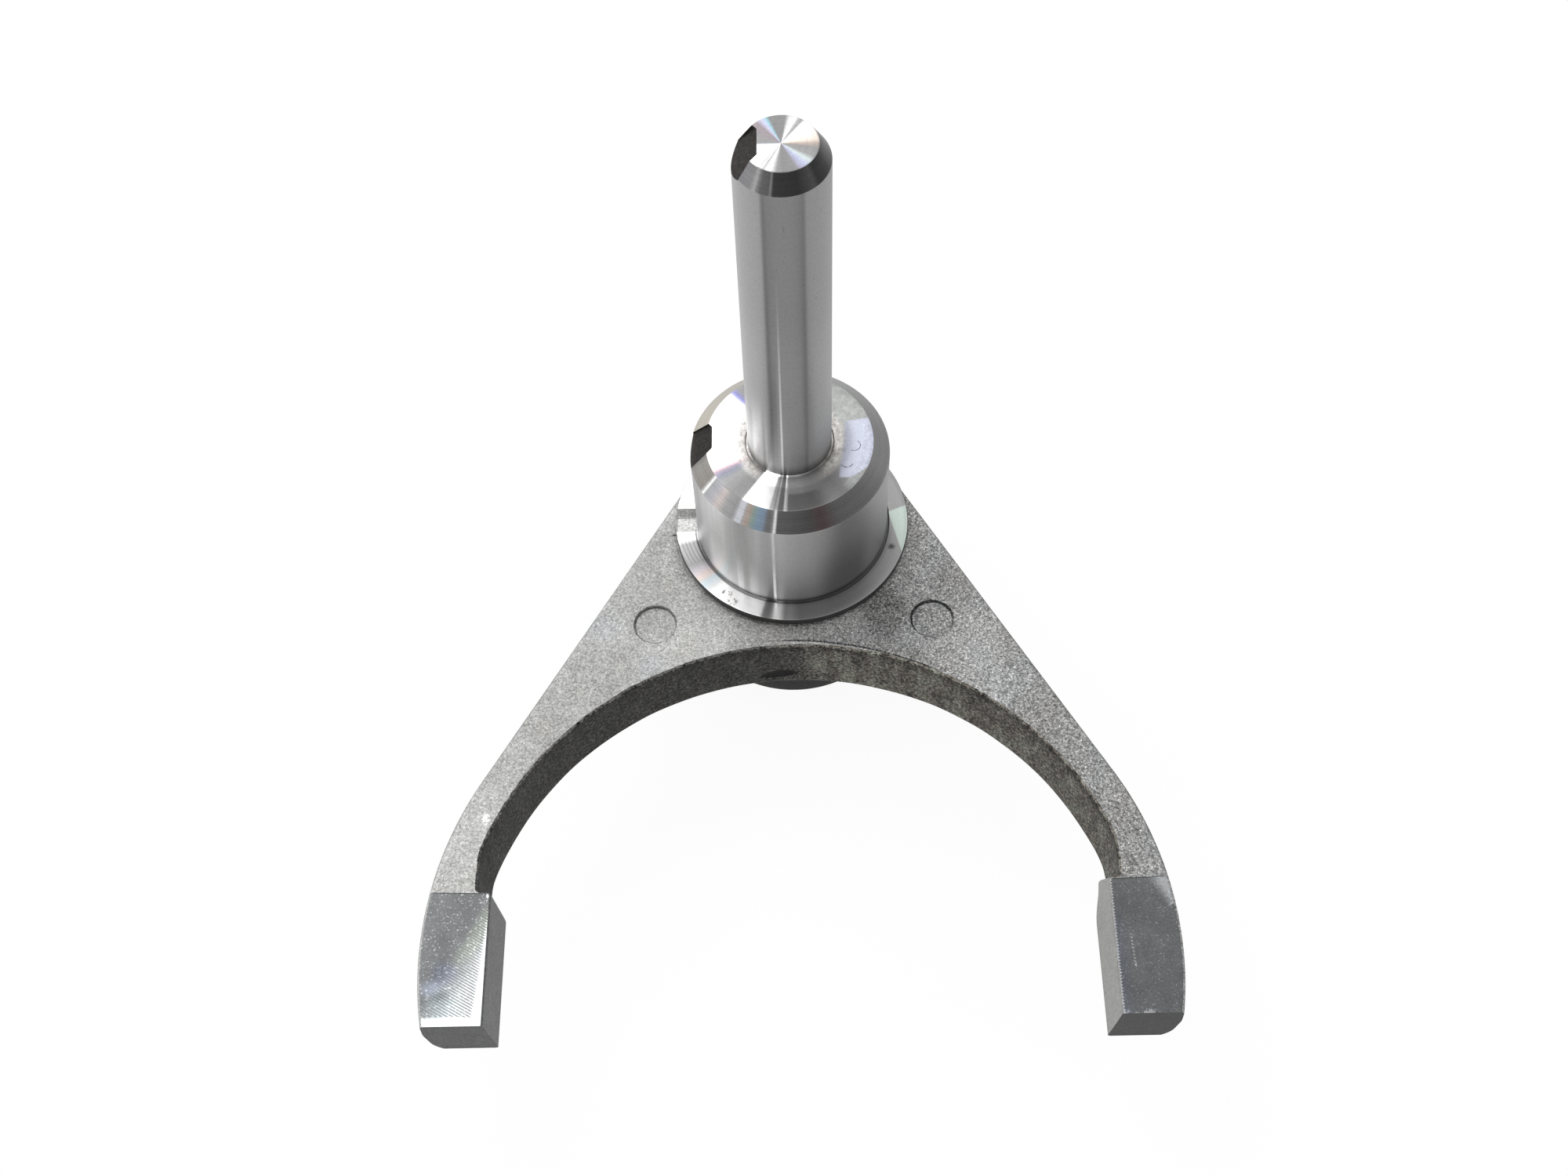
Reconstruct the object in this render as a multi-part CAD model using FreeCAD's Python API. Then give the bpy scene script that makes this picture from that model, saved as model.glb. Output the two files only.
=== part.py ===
import FreeCAD, Part
import math
import os

from FreeCAD import Vector

# Differential shift fork, a one-piece aluminium casting with a turned spindle.
# The origin is on the spindle's axis, in the turned face of its flange.
# +Z runs along the spindle to its tip, and the fork opens towards -Y.
# Lengths are in millimetres and angles in degrees.

# Spindle
shaft_radius = 6.35
shaft_length = 63.5
shaft_chamfer_width = 1.6
shaft_chamfer_length = 2.75
hub_radius = 15.2
hub_height = 22.1
hub_chamfer = 2.5
flange_radius = 18.6
flange_height = 1.2
flange_edge = 0.2
relief_width = 0.35
relief_depth = 0.3
relief_undercut = 0.15

# Boss under the fork
boss_radius = 18.3
boss_drop = 13.3
boss_draft = 2.0
boss_edge = 1.2

# Fork
gap_radius = 49.2
gap_distance = 22.4
arm_width = 5.3
fork_thickness = 11.0
nose_radius = 18.75
wall_draft = 2.0
parting_drop = 3.5
belly_draft = 9.0
crown_edge = 0.8
belly_edge = 4.2

# Pads at the arms' ends
pad_step = 4.35
pad_thickness = 9.3
pad_runout = 4.0
pad_rise = 9.4
pad_fall = 10.5
pad_skim = 0.3
pad_draft = 6.2
pad_corner = 2.2
heel_draft = 6.0
heel_edge = 3.2

# Marks left by the two ejector pins
ejector_radius = 3.27
ejector_depth = 0.35
ejector_spread = 43.3
ejector_back = 18.1

# Cast notches that the turned faces leave uncleaned, all on the -X side, with cut corners and splayed sides
tip_notch = {"inset": 3.35, "depth": 0.9, "drop": 2.9, "tail": 2.2, "front": -2.75, "back": 3.1}
hub_notch = {"inset": 3.5, "depth": 0.7, "drop": 2.6, "tail": 2.6, "front": -2.0, "back": 3.45}
front_corner = (0.8, 1.0)
back_corner = (0.5, 0.6)
front_splay = 20.0
back_splay = 6.0
flange_gap_front = -1.85
flange_gap_back = 2.6
flange_gap_ramp = 45.0

cut_margin = 2.0
touch = 0.001


def tangent(angle):
    return math.tan(math.radians(angle))


def polar(centre_y, radius, angle, height):
    # A point on a level circle centred on the fork's middle plane.
    turn = math.radians(angle)
    return Vector(radius * math.cos(turn), centre_y + radius * math.sin(turn), height)


def mirrored(point):
    return Vector(-point.x, point.y, point.z)


def arc(start, middle, end):
    return Part.Arc(start, middle, end).toShape()


def line(start, end):
    return Part.makeLine(start, end)


def closed_lines(points):
    return [line(a, b) for a, b in zip(points, points[1:] + points[:1])]


# Places in plan
fork_reach = gap_radius + gap_distance
arm_radius = gap_radius + arm_width
pad_face = gap_radius - pad_step
edge_angle = math.degrees(math.asin((arm_radius - nose_radius) / fork_reach))

# Heights
web_top = -flange_height
parting = web_top - parting_drop
web_bottom = web_top - fork_thickness
flange_root = web_top - cut_margin
boss_bottom = web_bottom - boss_drop
hub_top = hub_height
shaft_top = hub_top + shaft_length
pad_top = web_top - pad_skim
pad_bottom = pad_top - pad_thickness


def fork_outline(height, growth):
    # The fork from above, without its gap: a nose about the spindle and a wide arc about the collar's axis,
    # joined by their common tangents and cut square at the pads' toes. Growth moves every wall outwards.
    outer = arm_radius + growth
    nose = nose_radius + growth
    toe_y = -fork_reach - pad_fall - growth
    toe_x = math.sqrt(outer ** 2 - (toe_y + fork_reach) ** 2)
    toe = Vector(toe_x, toe_y, height)
    arm_side = polar(-fork_reach, outer, 0, height)
    arm_end = polar(-fork_reach, outer, edge_angle, height)
    nose_start = polar(0, nose, edge_angle, height)
    nose_tip = polar(0, nose, 90, height)
    return [arc(toe, arm_side, arm_end),
            line(arm_end, nose_start),
            arc(nose_start, nose_tip, mirrored(nose_start)),
            line(mirrored(nose_start), mirrored(arm_end)),
            arc(mirrored(arm_end), mirrored(arm_side), mirrored(toe)),
            line(mirrored(toe), toe)]


def gap_outline(height, growth, pad_growth, heel_growth):
    # The gap from above: an arc about the collar's axis that runs through small fillets into the pads' heels,
    # then down the pads' inner faces and out past their toes. Each growth moves its walls into the gap.
    radius = gap_radius - growth
    pad_x = pad_face - pad_growth
    back_y = -fork_reach + pad_rise + heel_growth
    front_y = -fork_reach - pad_fall - cut_margin
    fillet_y = back_y + pad_corner
    fillet_x = math.sqrt((radius - pad_corner) ** 2 - (fillet_y + fork_reach) ** 2)
    fillet_turn = math.degrees(math.atan2(fillet_y + fork_reach, fillet_x))
    foot = Vector(fillet_x, back_y, height)
    shoulder = polar(-fork_reach, radius, fillet_turn, height)
    middle_turn = math.radians((fillet_turn - 90) / 2)
    bend = Vector(fillet_x + pad_corner * math.cos(middle_turn),
                  fillet_y + pad_corner * math.sin(middle_turn), height)
    heel = Vector(pad_x, back_y, height)
    exit_corner = Vector(pad_x, front_y, height)
    crown = polar(-fork_reach, radius, 90, height)
    return [line(exit_corner, heel),
            line(heel, foot),
            arc(foot, bend, shoulder),
            arc(shoulder, crown, mirrored(shoulder)),
            arc(mirrored(shoulder), mirrored(bend), mirrored(foot)),
            line(mirrored(foot), mirrored(heel)),
            line(mirrored(heel), mirrored(exit_corner)),
            line(mirrored(exit_corner), exit_corner)]


def drafted(outline, heights):
    # A prism whose walls lean: the outline function gives its wires at the heights.
    return Part.makeLoft([Part.Wire(outline(height)) for height in heights], True, True)


def rim_edges(slab, height):
    # The outer edges at one height, without the straight ones across the pads' toes.
    return [edge for edge in slab.Edges
            if abs(edge.CenterOfMass.z - height) < touch and edge.BoundBox.ZLength < touch
            and edge.BoundBox.YLength > touch]


def fork_blank():
    # The web, arms and pads as one slab: its walls lean out to the parting plane and back in below it,
    # and its outer edges are rounded.
    def outline(height):
        above = web_top - max(height, parting)
        below = parting - min(height, parting)
        return fork_outline(height, above * tangent(wall_draft) - below * tangent(belly_draft))

    slab = drafted(outline, (web_top, parting, web_bottom))
    slab = slab.makeFillet(crown_edge, rim_edges(slab, web_top))
    return slab.makeFillet(belly_edge, rim_edges(slab, web_bottom))


def gap_cutter():
    # The space between the arms, a little narrower at the bottom because of the draft.
    def outline(height):
        fall = web_top - height
        drafts = (wall_draft, pad_draft, heel_draft)
        return gap_outline(height, *[fall * tangent(draft) for draft in drafts])

    return drafted(outline, (web_top + cut_margin, web_bottom - cut_margin))


def pad_cutters():
    # The two levels that the pads are milled to: above as far as their heels, below a little past them.
    depth = pad_fall + pad_rise + cut_margin
    width = 2 * (arm_radius + cut_margin)
    corner = Vector(-width / 2, -fork_reach + pad_rise - depth, 0)
    above = Part.makeBox(width, depth, pad_skim + cut_margin, corner + Vector(0, 0, pad_top))
    fall = pad_bottom - web_bottom + cut_margin
    below = Part.makeBox(width, depth + pad_runout, fall, corner + Vector(0, 0, pad_bottom - fall))
    return [above, below]


def heel_edges(blank):
    # The lower edges across the pads' heels, between the heels' walls and the milled undersides.
    heel_y = -fork_reach + pad_rise + (web_top - pad_bottom) * tangent(heel_draft)
    return [edge for edge in blank.Edges
            if abs(edge.CenterOfMass.z - pad_bottom) < touch and abs(edge.CenterOfMass.y - heel_y) < touch]


def ejector_cutters():
    # Shallow round recesses in the web's upper face.
    cutters = []
    for side in (-1, 1):
        foot = Vector(side * ejector_spread / 2, -ejector_back, web_top - ejector_depth)
        cutters.append(Part.makeCylinder(ejector_radius, ejector_depth + cut_margin, foot))
    return cutters


def spindle():
    # Shaft, hub, flange and boss, turned about the axis from one half profile.
    boss_foot = boss_radius - boss_drop * tangent(boss_draft)
    profile = [(0, shaft_top),
               (shaft_radius - shaft_chamfer_width, shaft_top),
               (shaft_radius, shaft_top - shaft_chamfer_length),
               (shaft_radius, hub_top),
               (shaft_radius - relief_undercut, hub_top - relief_depth),
               (shaft_radius + relief_width, hub_top - relief_depth),
               (shaft_radius + relief_width, hub_top),
               (hub_radius - hub_chamfer, hub_top),
               (hub_radius, hub_top - hub_chamfer),
               (hub_radius, 0),
               (hub_radius - relief_undercut, -relief_depth),
               (hub_radius + relief_width, -relief_depth),
               (hub_radius + relief_width, 0),
               (flange_radius - flange_edge, 0),
               (flange_radius, -flange_edge),
               (flange_radius, flange_root),
               (boss_radius, flange_root),
               (boss_radius, web_bottom),
               (boss_foot, boss_bottom + boss_edge),
               (boss_foot - boss_edge, boss_bottom),
               (0, boss_bottom)]
    half = Part.Face(Part.Wire(closed_lines([Vector(radius, 0, height) for radius, height in profile])))
    return half.revolve(Vector(0, 0, 0), Vector(0, 0, 1), 360)


def prism(points, travel):
    return Part.Face(Part.Wire(closed_lines(points))).extrude(travel)


def notch_plan(notch, inner, outer, height):
    # A notch from above: a straight inner wall, cut corners, and side walls that splay towards the rim.
    front_run = outer - inner - front_corner[0]
    back_run = outer - inner - back_corner[0]
    return [Vector(-inner, notch["front"] + front_corner[1], height),
            Vector(-inner - front_corner[0], notch["front"], height),
            Vector(-outer, notch["front"] - front_run * tangent(front_splay), height),
            Vector(-outer, notch["back"] + back_run * tangent(back_splay), height),
            Vector(-inner - back_corner[0], notch["back"], height),
            Vector(-inner, notch["back"] - back_corner[1], height)]


def rim_notch(notch, radius, top):
    # A notch over a turned end: a slanted floor, then a steep tail that runs out into the wall below.
    inner = radius - notch["inset"]
    lip = radius - notch["depth"]
    outer = radius + cut_margin
    foot = top - notch["drop"] - (outer - lip) * notch["tail"] / notch["depth"]
    floor = [(inner - cut_margin * (lip - inner) / notch["drop"], top + cut_margin),
             (lip, top - notch["drop"]),
             (outer, foot),
             (outer, top + cut_margin)]
    block = prism([Vector(-reach, -outer, height) for reach, height in floor], Vector(0, 2 * outer, 0))
    return block.common(prism(notch_plan(notch, inner, outer, foot), Vector(0, 0, top + cut_margin - foot)))


def flange_notch():
    # The break in the flange's ring, down to the web's face and out from the hub's wall, with a ramp behind.
    length = flange_radius - hub_radius + cut_margin
    reach = -hub_radius - length
    ramp = (flange_height + cut_margin) / tangent(flange_gap_ramp)
    ramp_foot = flange_gap_back - flange_height / tangent(flange_gap_ramp)
    block = prism([Vector(reach, flange_gap_front, web_top),
                   Vector(reach, flange_gap_front, cut_margin),
                   Vector(reach, ramp_foot + ramp, cut_margin),
                   Vector(reach, ramp_foot, web_top)], Vector(length, 0, 0))
    turned_hub = Part.makeCylinder(hub_radius, flange_height + cut_margin, Vector(0, 0, web_top))
    return block.cut(turned_hub)


def shift_fork():
    blank = fork_blank().cut(gap_cutter())
    for cutter in pad_cutters() + ejector_cutters():
        blank = blank.cut(cutter)
    blank = blank.makeFillet(heel_edge, heel_edges(blank))
    turned = spindle()
    for cutter in (rim_notch(tip_notch, shaft_radius, shaft_top), rim_notch(hub_notch, hub_radius, hub_top),
                   flange_notch()):
        turned = turned.cut(cutter)
    return blank.fuse(turned).removeSplitter()


os.makedirs("parts", exist_ok=True)
fork = shift_fork()
fork.exportStep("parts/shift_fork.step")
print("shift_fork", fork.isValid(), len(fork.Solids), round(fork.Volume), fork.BoundBox)
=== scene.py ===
# Differential shift fork, dressed for its picture: a rough cast fork, milled pads and a turned spindle.
import math

import bmesh
import bpy
import numpy as np
from mathutils import Matrix, Vector


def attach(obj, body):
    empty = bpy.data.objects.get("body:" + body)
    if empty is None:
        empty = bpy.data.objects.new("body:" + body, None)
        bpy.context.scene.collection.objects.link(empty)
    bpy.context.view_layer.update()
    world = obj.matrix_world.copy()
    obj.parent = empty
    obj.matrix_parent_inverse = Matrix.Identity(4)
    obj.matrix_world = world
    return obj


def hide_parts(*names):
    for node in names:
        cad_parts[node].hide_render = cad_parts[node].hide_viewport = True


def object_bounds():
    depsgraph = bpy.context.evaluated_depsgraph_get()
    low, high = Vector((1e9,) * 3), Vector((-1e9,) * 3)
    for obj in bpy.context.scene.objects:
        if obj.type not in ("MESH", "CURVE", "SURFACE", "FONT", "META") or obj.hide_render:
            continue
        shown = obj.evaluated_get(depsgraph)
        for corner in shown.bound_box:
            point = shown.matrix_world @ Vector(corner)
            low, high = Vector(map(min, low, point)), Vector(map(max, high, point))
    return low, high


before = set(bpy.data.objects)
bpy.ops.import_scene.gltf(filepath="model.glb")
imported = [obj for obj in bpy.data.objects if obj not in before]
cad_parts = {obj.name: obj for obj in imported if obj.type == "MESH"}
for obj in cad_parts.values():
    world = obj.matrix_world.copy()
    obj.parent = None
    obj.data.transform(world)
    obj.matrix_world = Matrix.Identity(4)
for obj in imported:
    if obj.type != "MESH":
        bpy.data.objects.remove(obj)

cadLow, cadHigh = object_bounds()
mm = 0.001        # the sizes below are in millimetres, and the meshes in metres
displayGamma = 2.2        # display tones raised to this are linear light
scene = bpy.context.scene
print("frame loaded")


# Shader writing

class Wire:
    # A shader socket that can stand in a sum: every operator adds one Math node.
    def __init__(self, kit, socket):
        self.kit = kit
        self.socket = socket

    def __add__(self, other):
        return self.kit.maths("ADD", self, other)

    def __radd__(self, other):
        return self.kit.maths("ADD", other, self)

    def __sub__(self, other):
        return self.kit.maths("SUBTRACT", self, other)

    def __rsub__(self, other):
        return self.kit.maths("SUBTRACT", other, self)

    def __mul__(self, other):
        return self.kit.maths("MULTIPLY", self, other)

    def __rmul__(self, other):
        return self.kit.maths("MULTIPLY", other, self)

    def __truediv__(self, other):
        return self.kit.maths("DIVIDE", self, other)

    def __pow__(self, other):
        return self.kit.maths("POWER", self, other)


class ShaderKit:
    # Writes one node tree: add() makes any node, sets it up and joins its sockets.
    def __init__(self, tree):
        self.tree = tree
        tree.nodes.clear()

    def add(self, kind, settings=None, sockets=None, take=0):
        node = self.tree.nodes.new("ShaderNode" + kind)
        for name, value in (settings or {}).items():
            if name == "stops":
                self.setStops(node.color_ramp.elements, value)
            else:
                setattr(node, name, value)
        for name, value in (sockets or {}).items():
            if isinstance(value, Wire):
                self.tree.links.new(value.socket, node.inputs[name])
            else:
                node.inputs[name].default_value = value
        if isinstance(take, tuple):
            return [Wire(self, node.outputs[name]) for name in take]
        return Wire(self, node.outputs[take]) if len(node.outputs) else node

    def setStops(self, elements, sectors):
        # A ramp's stops, from degrees and display tones.
        while len(elements) < len(sectors):
            elements.new(1.0)
        for element, (degrees, tone) in zip(elements, sectors):
            tones = tone if isinstance(tone, tuple) else (tone,) * 3
            element.position = degrees / 360 + 0.5
            element.color = (*[channel ** displayGamma for channel in tones], 1.0)

    def maths(self, operation, first, second=0.0):
        return self.add("Math", {"operation": operation}, {0: first, 1: second})

    def step(self, value, low, high):
        # A soft step from 0 at low to 1 at high, which may be the smaller of the two.
        return self.add("MapRange", {"interpolation_type": "SMOOTHSTEP"},
                        {"Value": value, "From Min": low, "From Max": high})

    def mix(self, share, first, second):
        # A blend of two colours, from the first at 0 to the second at 1.
        return self.add("Mix", {"data_type": "RGBA"}, {0: share, 6: first, 7: second}, take=2)

    def stripe(self, value, middle, half, fade):
        # 1 within half of the middle, falling to 0 over the fade.
        return self.step(self.maths("ABSOLUTE", value - middle), half + fade, half)

    def distance(self, x, y, spot, squeeze=1.0):
        # The distance from a spot in X and Y, with X stretched by the squeeze.
        across, along = (x - spot[0]) * squeeze, y - spot[1]
        return (across * across + along * along) ** 0.5

    def spot(self, x, y, spot, full, gone, squeeze=1.0, ragged=0.0):
        # 1 within the full distance of a spot, falling to 0 where it is gone; ragged roughens its rim.
        return self.step(self.distance(x, y, spot, squeeze) + ragged, gone, full)

    def gained(self, share, *pairs):
        # Each pair's first value and its share of the second.
        return [share * pair[1] + pair[0] for pair in pairs]

    def vector(self, x, y, z):
        return self.add("CombineXYZ", None, {0: x, 1: y, 2: z})

    def parts(self, vector):
        return self.add("SeparateXYZ", None, {0: vector}, take=(0, 1, 2))

    def facing(self, axis):
        # How far the surface faces along X, Y or Z.
        return self.parts(self.add("NewGeometry", None, None, take="Normal"))[axis]

    def hatch(self, along, pitch):
        # Parallel tool marks, a sine of the distance across them.
        return self.maths("SINE", along * (2 * math.pi / pitch)) * 0.5 + 0.5

    def painted(self, tone, tint, darkest):
        # A display tone, no darker than the darkest, in linear light and tinted.
        light = self.maths("MAXIMUM", tone, darkest) ** displayGamma
        return self.add("VectorMath", {"operation": "SCALE"}, {0: tint, "Scale": light})

    def noise(self, vector, scale, detail=2.0, roughness=0.5):
        return self.add("TexNoise", None, {"Vector": vector, "Scale": scale, "Detail": detail,
                                           "Roughness": roughness})

    def bump(self, height, distance, strength=1.0):
        return self.add("Bump", None, {"Height": height, "Distance": distance, "Strength": strength})


def grey(level):
    return (level, level, level, 1.0)


def newMaterial(name):
    material = bpy.data.materials.new(name)
    material.use_nodes = True
    kit = ShaderKit(material.node_tree)
    place = kit.add("TexCoord", None, None, take="Object")
    place = kit.add("VectorMath", {"operation": "SCALE"}, {0: place, "Scale": 1 / mm})
    return material, kit, place


def finishMaterial(kit, sockets):
    surface = kit.add("BsdfPrincipled", None, sockets)
    kit.add("OutputMaterial", None, {"Surface": surface})


# Mesh writing

def gridFaces(rows, columns, closeColumns):
    # The quads between neighbouring rows of a grid whose vertices run row by row.
    across = columns if closeColumns else columns - 1
    row, column = np.meshgrid(np.arange(rows - 1), np.arange(across), indexing="ij")
    nextColumn = (column + 1) % columns
    corners = [row * columns + column, row * columns + nextColumn,
               (row + 1) * columns + nextColumn, (row + 1) * columns + column]
    return np.stack(corners, -1).reshape(-1, 4)


def newPiece(name, points, faces, materials, faceMaterials=None):
    mesh = bpy.data.meshes.new(name)
    mesh.from_pydata((points * mm).tolist(), [], faces)
    for material in materials:
        mesh.materials.append(material)
    if faceMaterials is not None:
        mesh.polygons.foreach_set("material_index", faceMaterials)
    mesh.validate()
    piece = bpy.data.objects.new(name, mesh)
    scene.collection.objects.link(piece)
    return piece


def combine(piece, other, operation):
    # Joins a tool to a piece or cuts it away, leaves the tool's finish on the faces it makes, and removes it.
    change = piece.modifiers.new(operation, "BOOLEAN")
    change.operation = operation
    change.object = other
    change.solver = "EXACT"
    change.material_mode = "TRANSFER"
    graph = bpy.context.evaluated_depsgraph_get()
    made = bpy.data.meshes.new_from_object(piece.evaluated_get(graph))
    piece.modifiers.clear()
    piece.data = made
    bpy.data.objects.remove(other)


def shadeSmooth(piece, angle):
    piece.data.shade_smooth()
    piece.data.set_sharp_from_angle(angle=math.radians(angle))


def ripple(points, size, seed, waves=12):
    # Gentle unevenness: a sum of sine waves of about one length, each in its own random direction.
    chance = np.random.default_rng(seed)
    heading = chance.normal(size=(waves, 3))
    heading /= np.linalg.norm(heading, axis=1, keepdims=True)
    pace = 2 * np.pi / (size * chance.uniform(0.7, 1.5, waves))
    start = chance.uniform(0, 2 * np.pi, waves)
    return np.sin(points @ (heading * pace[:, None]).T + start).sum(-1) / math.sqrt(waves)


def softStep(value, low, high):
    share = np.clip((value - low) / (high - low), 0, 1)
    return share * share * (3 - 2 * share)


# Finishes

# Pairs hold a value at -X and what it gains towards +X.
castLook = {
    "tone": (0.675, -0.095), "grain": (0.8, 0.55), "fine": (0.4, 0.3), "glint": (0.07, 0.17),
    "pins": ({"place": (-21.65, -18.1), "lean": 0.35, "depth": 0.3},
             {"place": (21.65, -18.1), "lean": 0.5, "depth": 0.42}),
    "pinRadius": 3.27, "gapCentre": -71.6, "seam": 50.08, "innerSeam": 49.86, "seamLip": 49.75,
    "lightPool": (-16.0, -22.5), "shade": (14.133, -16.5), "rubAndGlint": (-46.1, -50.7), "creaseShade": (22.9, 18.0),
    "stains": ((-29.7, -18.4), (-22.2, -25.5)), "slitAt": -1.72,
    "bossTop": -12.15, "bossShadeTone": 0.125, "bossBack": 0.32,
}


def castSkin():
    # Sand-like die-cast grain, in display tones: fine towards -X and coarser towards +X, painted pale towards
    # -X and darker towards +X as if lit from -X, with painted glints sparkling towards +X, stains, painted
    # shade at the pins' rings, a raised seam beside the gap and a rubbed spot.
    f = castLook
    material, kit, place = newMaterial("castSkin")
    x, y, z = kit.parts(place)
    right = kit.step(x, -14.0, 16.0)
    level = kit.step(kit.facing(2), 0.55, 0.95)
    grain = kit.noise(place, 2.8, 3.0, 0.75)
    fine = kit.noise(place, 6.0, 2.0, 0.7)
    glint = kit.step(kit.noise(place, 3.4, 2.0, 0.6), 0.58, 0.68)
    slow = kit.noise(place, 0.12, 3.0, 0.6)
    blotch = kit.noise(place, 0.45, 2.0, 0.5)
    # Painted light: the tone falls towards +X as if the light came from -X, and the glints add painted
    # sparkle to the colour.
    tone, grainGain, fineGain, glintGain = kit.gained(right, f["tone"], f["grain"], f["fine"], f["glint"])
    tone = tone + (grain - 0.5) * grainGain + (fine - 0.5) * fineGain + glint * glintGain
    tone = tone + (slow - 0.5) * 0.12 + (blotch - 0.5) * 0.1
    # Painted light: lighter towards the -X arm's toe, a lit patch beside the +X pin, and a painted pool of
    # light on the -X web.
    tone = tone + kit.step(y, -38.0, -56.0) * (1 - right) * 0.06
    tone = tone + kit.stripe(x, 27.0, 2.0, 7.0) * kit.step(y, -14.0, -20.0) * 0.07
    tone = tone + kit.spot(x, y, f["lightPool"], 3.0, 9.0) * 0.065

    # Painted shade: the steep walls are a little darker than the top, except on the flange's ramp and beside
    # the pads.
    ramp = kit.step(z, -0.98, -0.88)
    skim = kit.step(y, -60.5, -61.5) * kit.step(z, -1.62, -1.55)
    wall = (1 - level) * (1 - ramp) * (1 - skim)
    tone = tone - wall * (right * 0.1 + 0.1) + ramp * kit.step(x, -14.0, -16.0) * 0.03

    # Painted shade at each ejector mark: a dark ring round the recess's rim, darker on the side that its wall
    # shades, and the recess a little darker inside.
    for pin in f["pins"]:
        away = kit.distance(x, y, pin["place"])
        rimShade = kit.stripe(away, f["pinRadius"], 0.06, 0.2) * (blotch * 0.8 + 0.6)
        lean = ((x - pin["place"][0]) * -0.6 + (y - pin["place"][1]) * 0.8) / f["pinRadius"]
        tone = tone - rimShade * (lean * pin["lean"] + 0.8) * pin["depth"] * level
        tone = tone - kit.step(away, 3.2, 2.9) * 0.03

    # The seam: two thin broken lines beside the gap, with a paler lip inside them.
    reach = kit.distance(x, y, (0.0, f["gapCentre"]))
    along = kit.step(x, -3.2, 0.0) * kit.step(x, 23.0, 20.5)
    seamLine = kit.stripe(reach + x * 0.024, f["seam"], 0.05, 0.15)
    innerLine = kit.stripe(reach + x * 0.018, f["innerSeam"], 0.03, 0.11) * kit.step(x, 4.0, 7.0)
    lip = kit.step(reach, f["seamLip"] + 0.25, f["seamLip"])
    tone = tone + along * (lip * 0.12 - (seamLine * 0.34 + innerLine * 0.26) * (blotch * 0.9 + 0.55))

    # Painted light and shade round the flange: a dark shadow line in front, the dark slit and lit floor of
    # its break, its soft shadow, and the shade that the spindle casts towards +X.
    radius = kit.distance(x, y, (0.0, 0.0))
    flangeShadowLine = kit.step(radius, 18.3, 18.6) * kit.step(radius, 19.1, 18.95)
    flangeShadowLine = flangeShadowLine * kit.step(y, 6.0, -2.0) * kit.step(x, 14.0, 4.0)
    slitShade = kit.stripe(y, f["slitAt"], 0.1, 0.12) * kit.step(x, -15.0, -15.6) * kit.step(x, -19.4, -19.0)
    floorLight = kit.step(radius, 18.6, 18.2) * kit.step(x, -14.0, -15.0) * (1 - ramp)
    shadow = kit.step(radius, 21.0, 18.9) * kit.step(y, 2.0, -8.0) * kit.step(x, 8.0, 2.0)
    shade = kit.spot(x, y, f["shade"], 2.0, 7.5, 1.5)
    dark = flangeShadowLine * (kit.step(x, -15.0, -6.0) * 0.09 + 0.05) + slitShade * 0.3 + shadow * 0.05 + shade * 0.13
    tone = tone - dark * level + floorLight * 0.2

    # A rubbed spot: worn, and painted white as the highlight it catches.
    rubAndGlint = kit.spot(x, y, f["rubAndGlint"], 0.7, 1.3, 1.8, (grain - 0.5) * 4.0) * kit.step(grain, 0.4, 0.52)
    # A crease, painted dark as the shade inside it.
    creaseShade = kit.spot(x * 0.7 - y * 0.7, (x + y) * 1.6, f["creaseShade"], 0.25, 0.7)
    tone = tone + rubAndGlint * 0.34 * level - creaseShade * 0.16

    # Painted shade on the boss below the web: dark in front where the fork shades it, lighter towards the
    # back, and darker still towards the floor.
    foot = kit.step(z, f["bossTop"], f["bossTop"] - 0.35)
    plain = kit.step(y, -12.0, 0.0) * f["bossBack"]
    bossShadeTone = plain + f["bossShadeTone"] + (grain - 0.5) * (plain + 0.12) - kit.step(z, -14.0, -20.0) * 0.05
    tone = tone * (1 - foot) + foot * bossShadeTone

    stain = kit.spot(x, y, f["stains"][0], 0.5, 4.0) + kit.spot(x, y, f["stains"][1], 0.5, 3.0)
    stain = stain + right * kit.step(slow, 0.5, 0.62) * 0.5
    warm = kit.step(slow, 0.5, 0.36) * 0.5
    tint = kit.mix(warm, (0.995, 1.0, 0.985, 1), (1.02, 1.0, 0.95, 1))
    tint = kit.mix(stain * 0.5, tint, (0.955, 0.985, 1.03, 1))
    finishMaterial(kit, {"Base Color": kit.painted(tone, tint, 0.1), "Metallic": 0.7,
                         "Roughness": 0.58 - glint * 0.2,
                         "Normal": kit.bump(grain + fine * 0.4, 0.2 * mm, 0.6)})
    return material


# The wall's dark tone is painted shade.
arcLook = {"tone": (0.225, 0.13), "drag": (0.16, 0.28), "fine": (0.9, 0.5), "pit": (-2.4, -9.6)}


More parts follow.
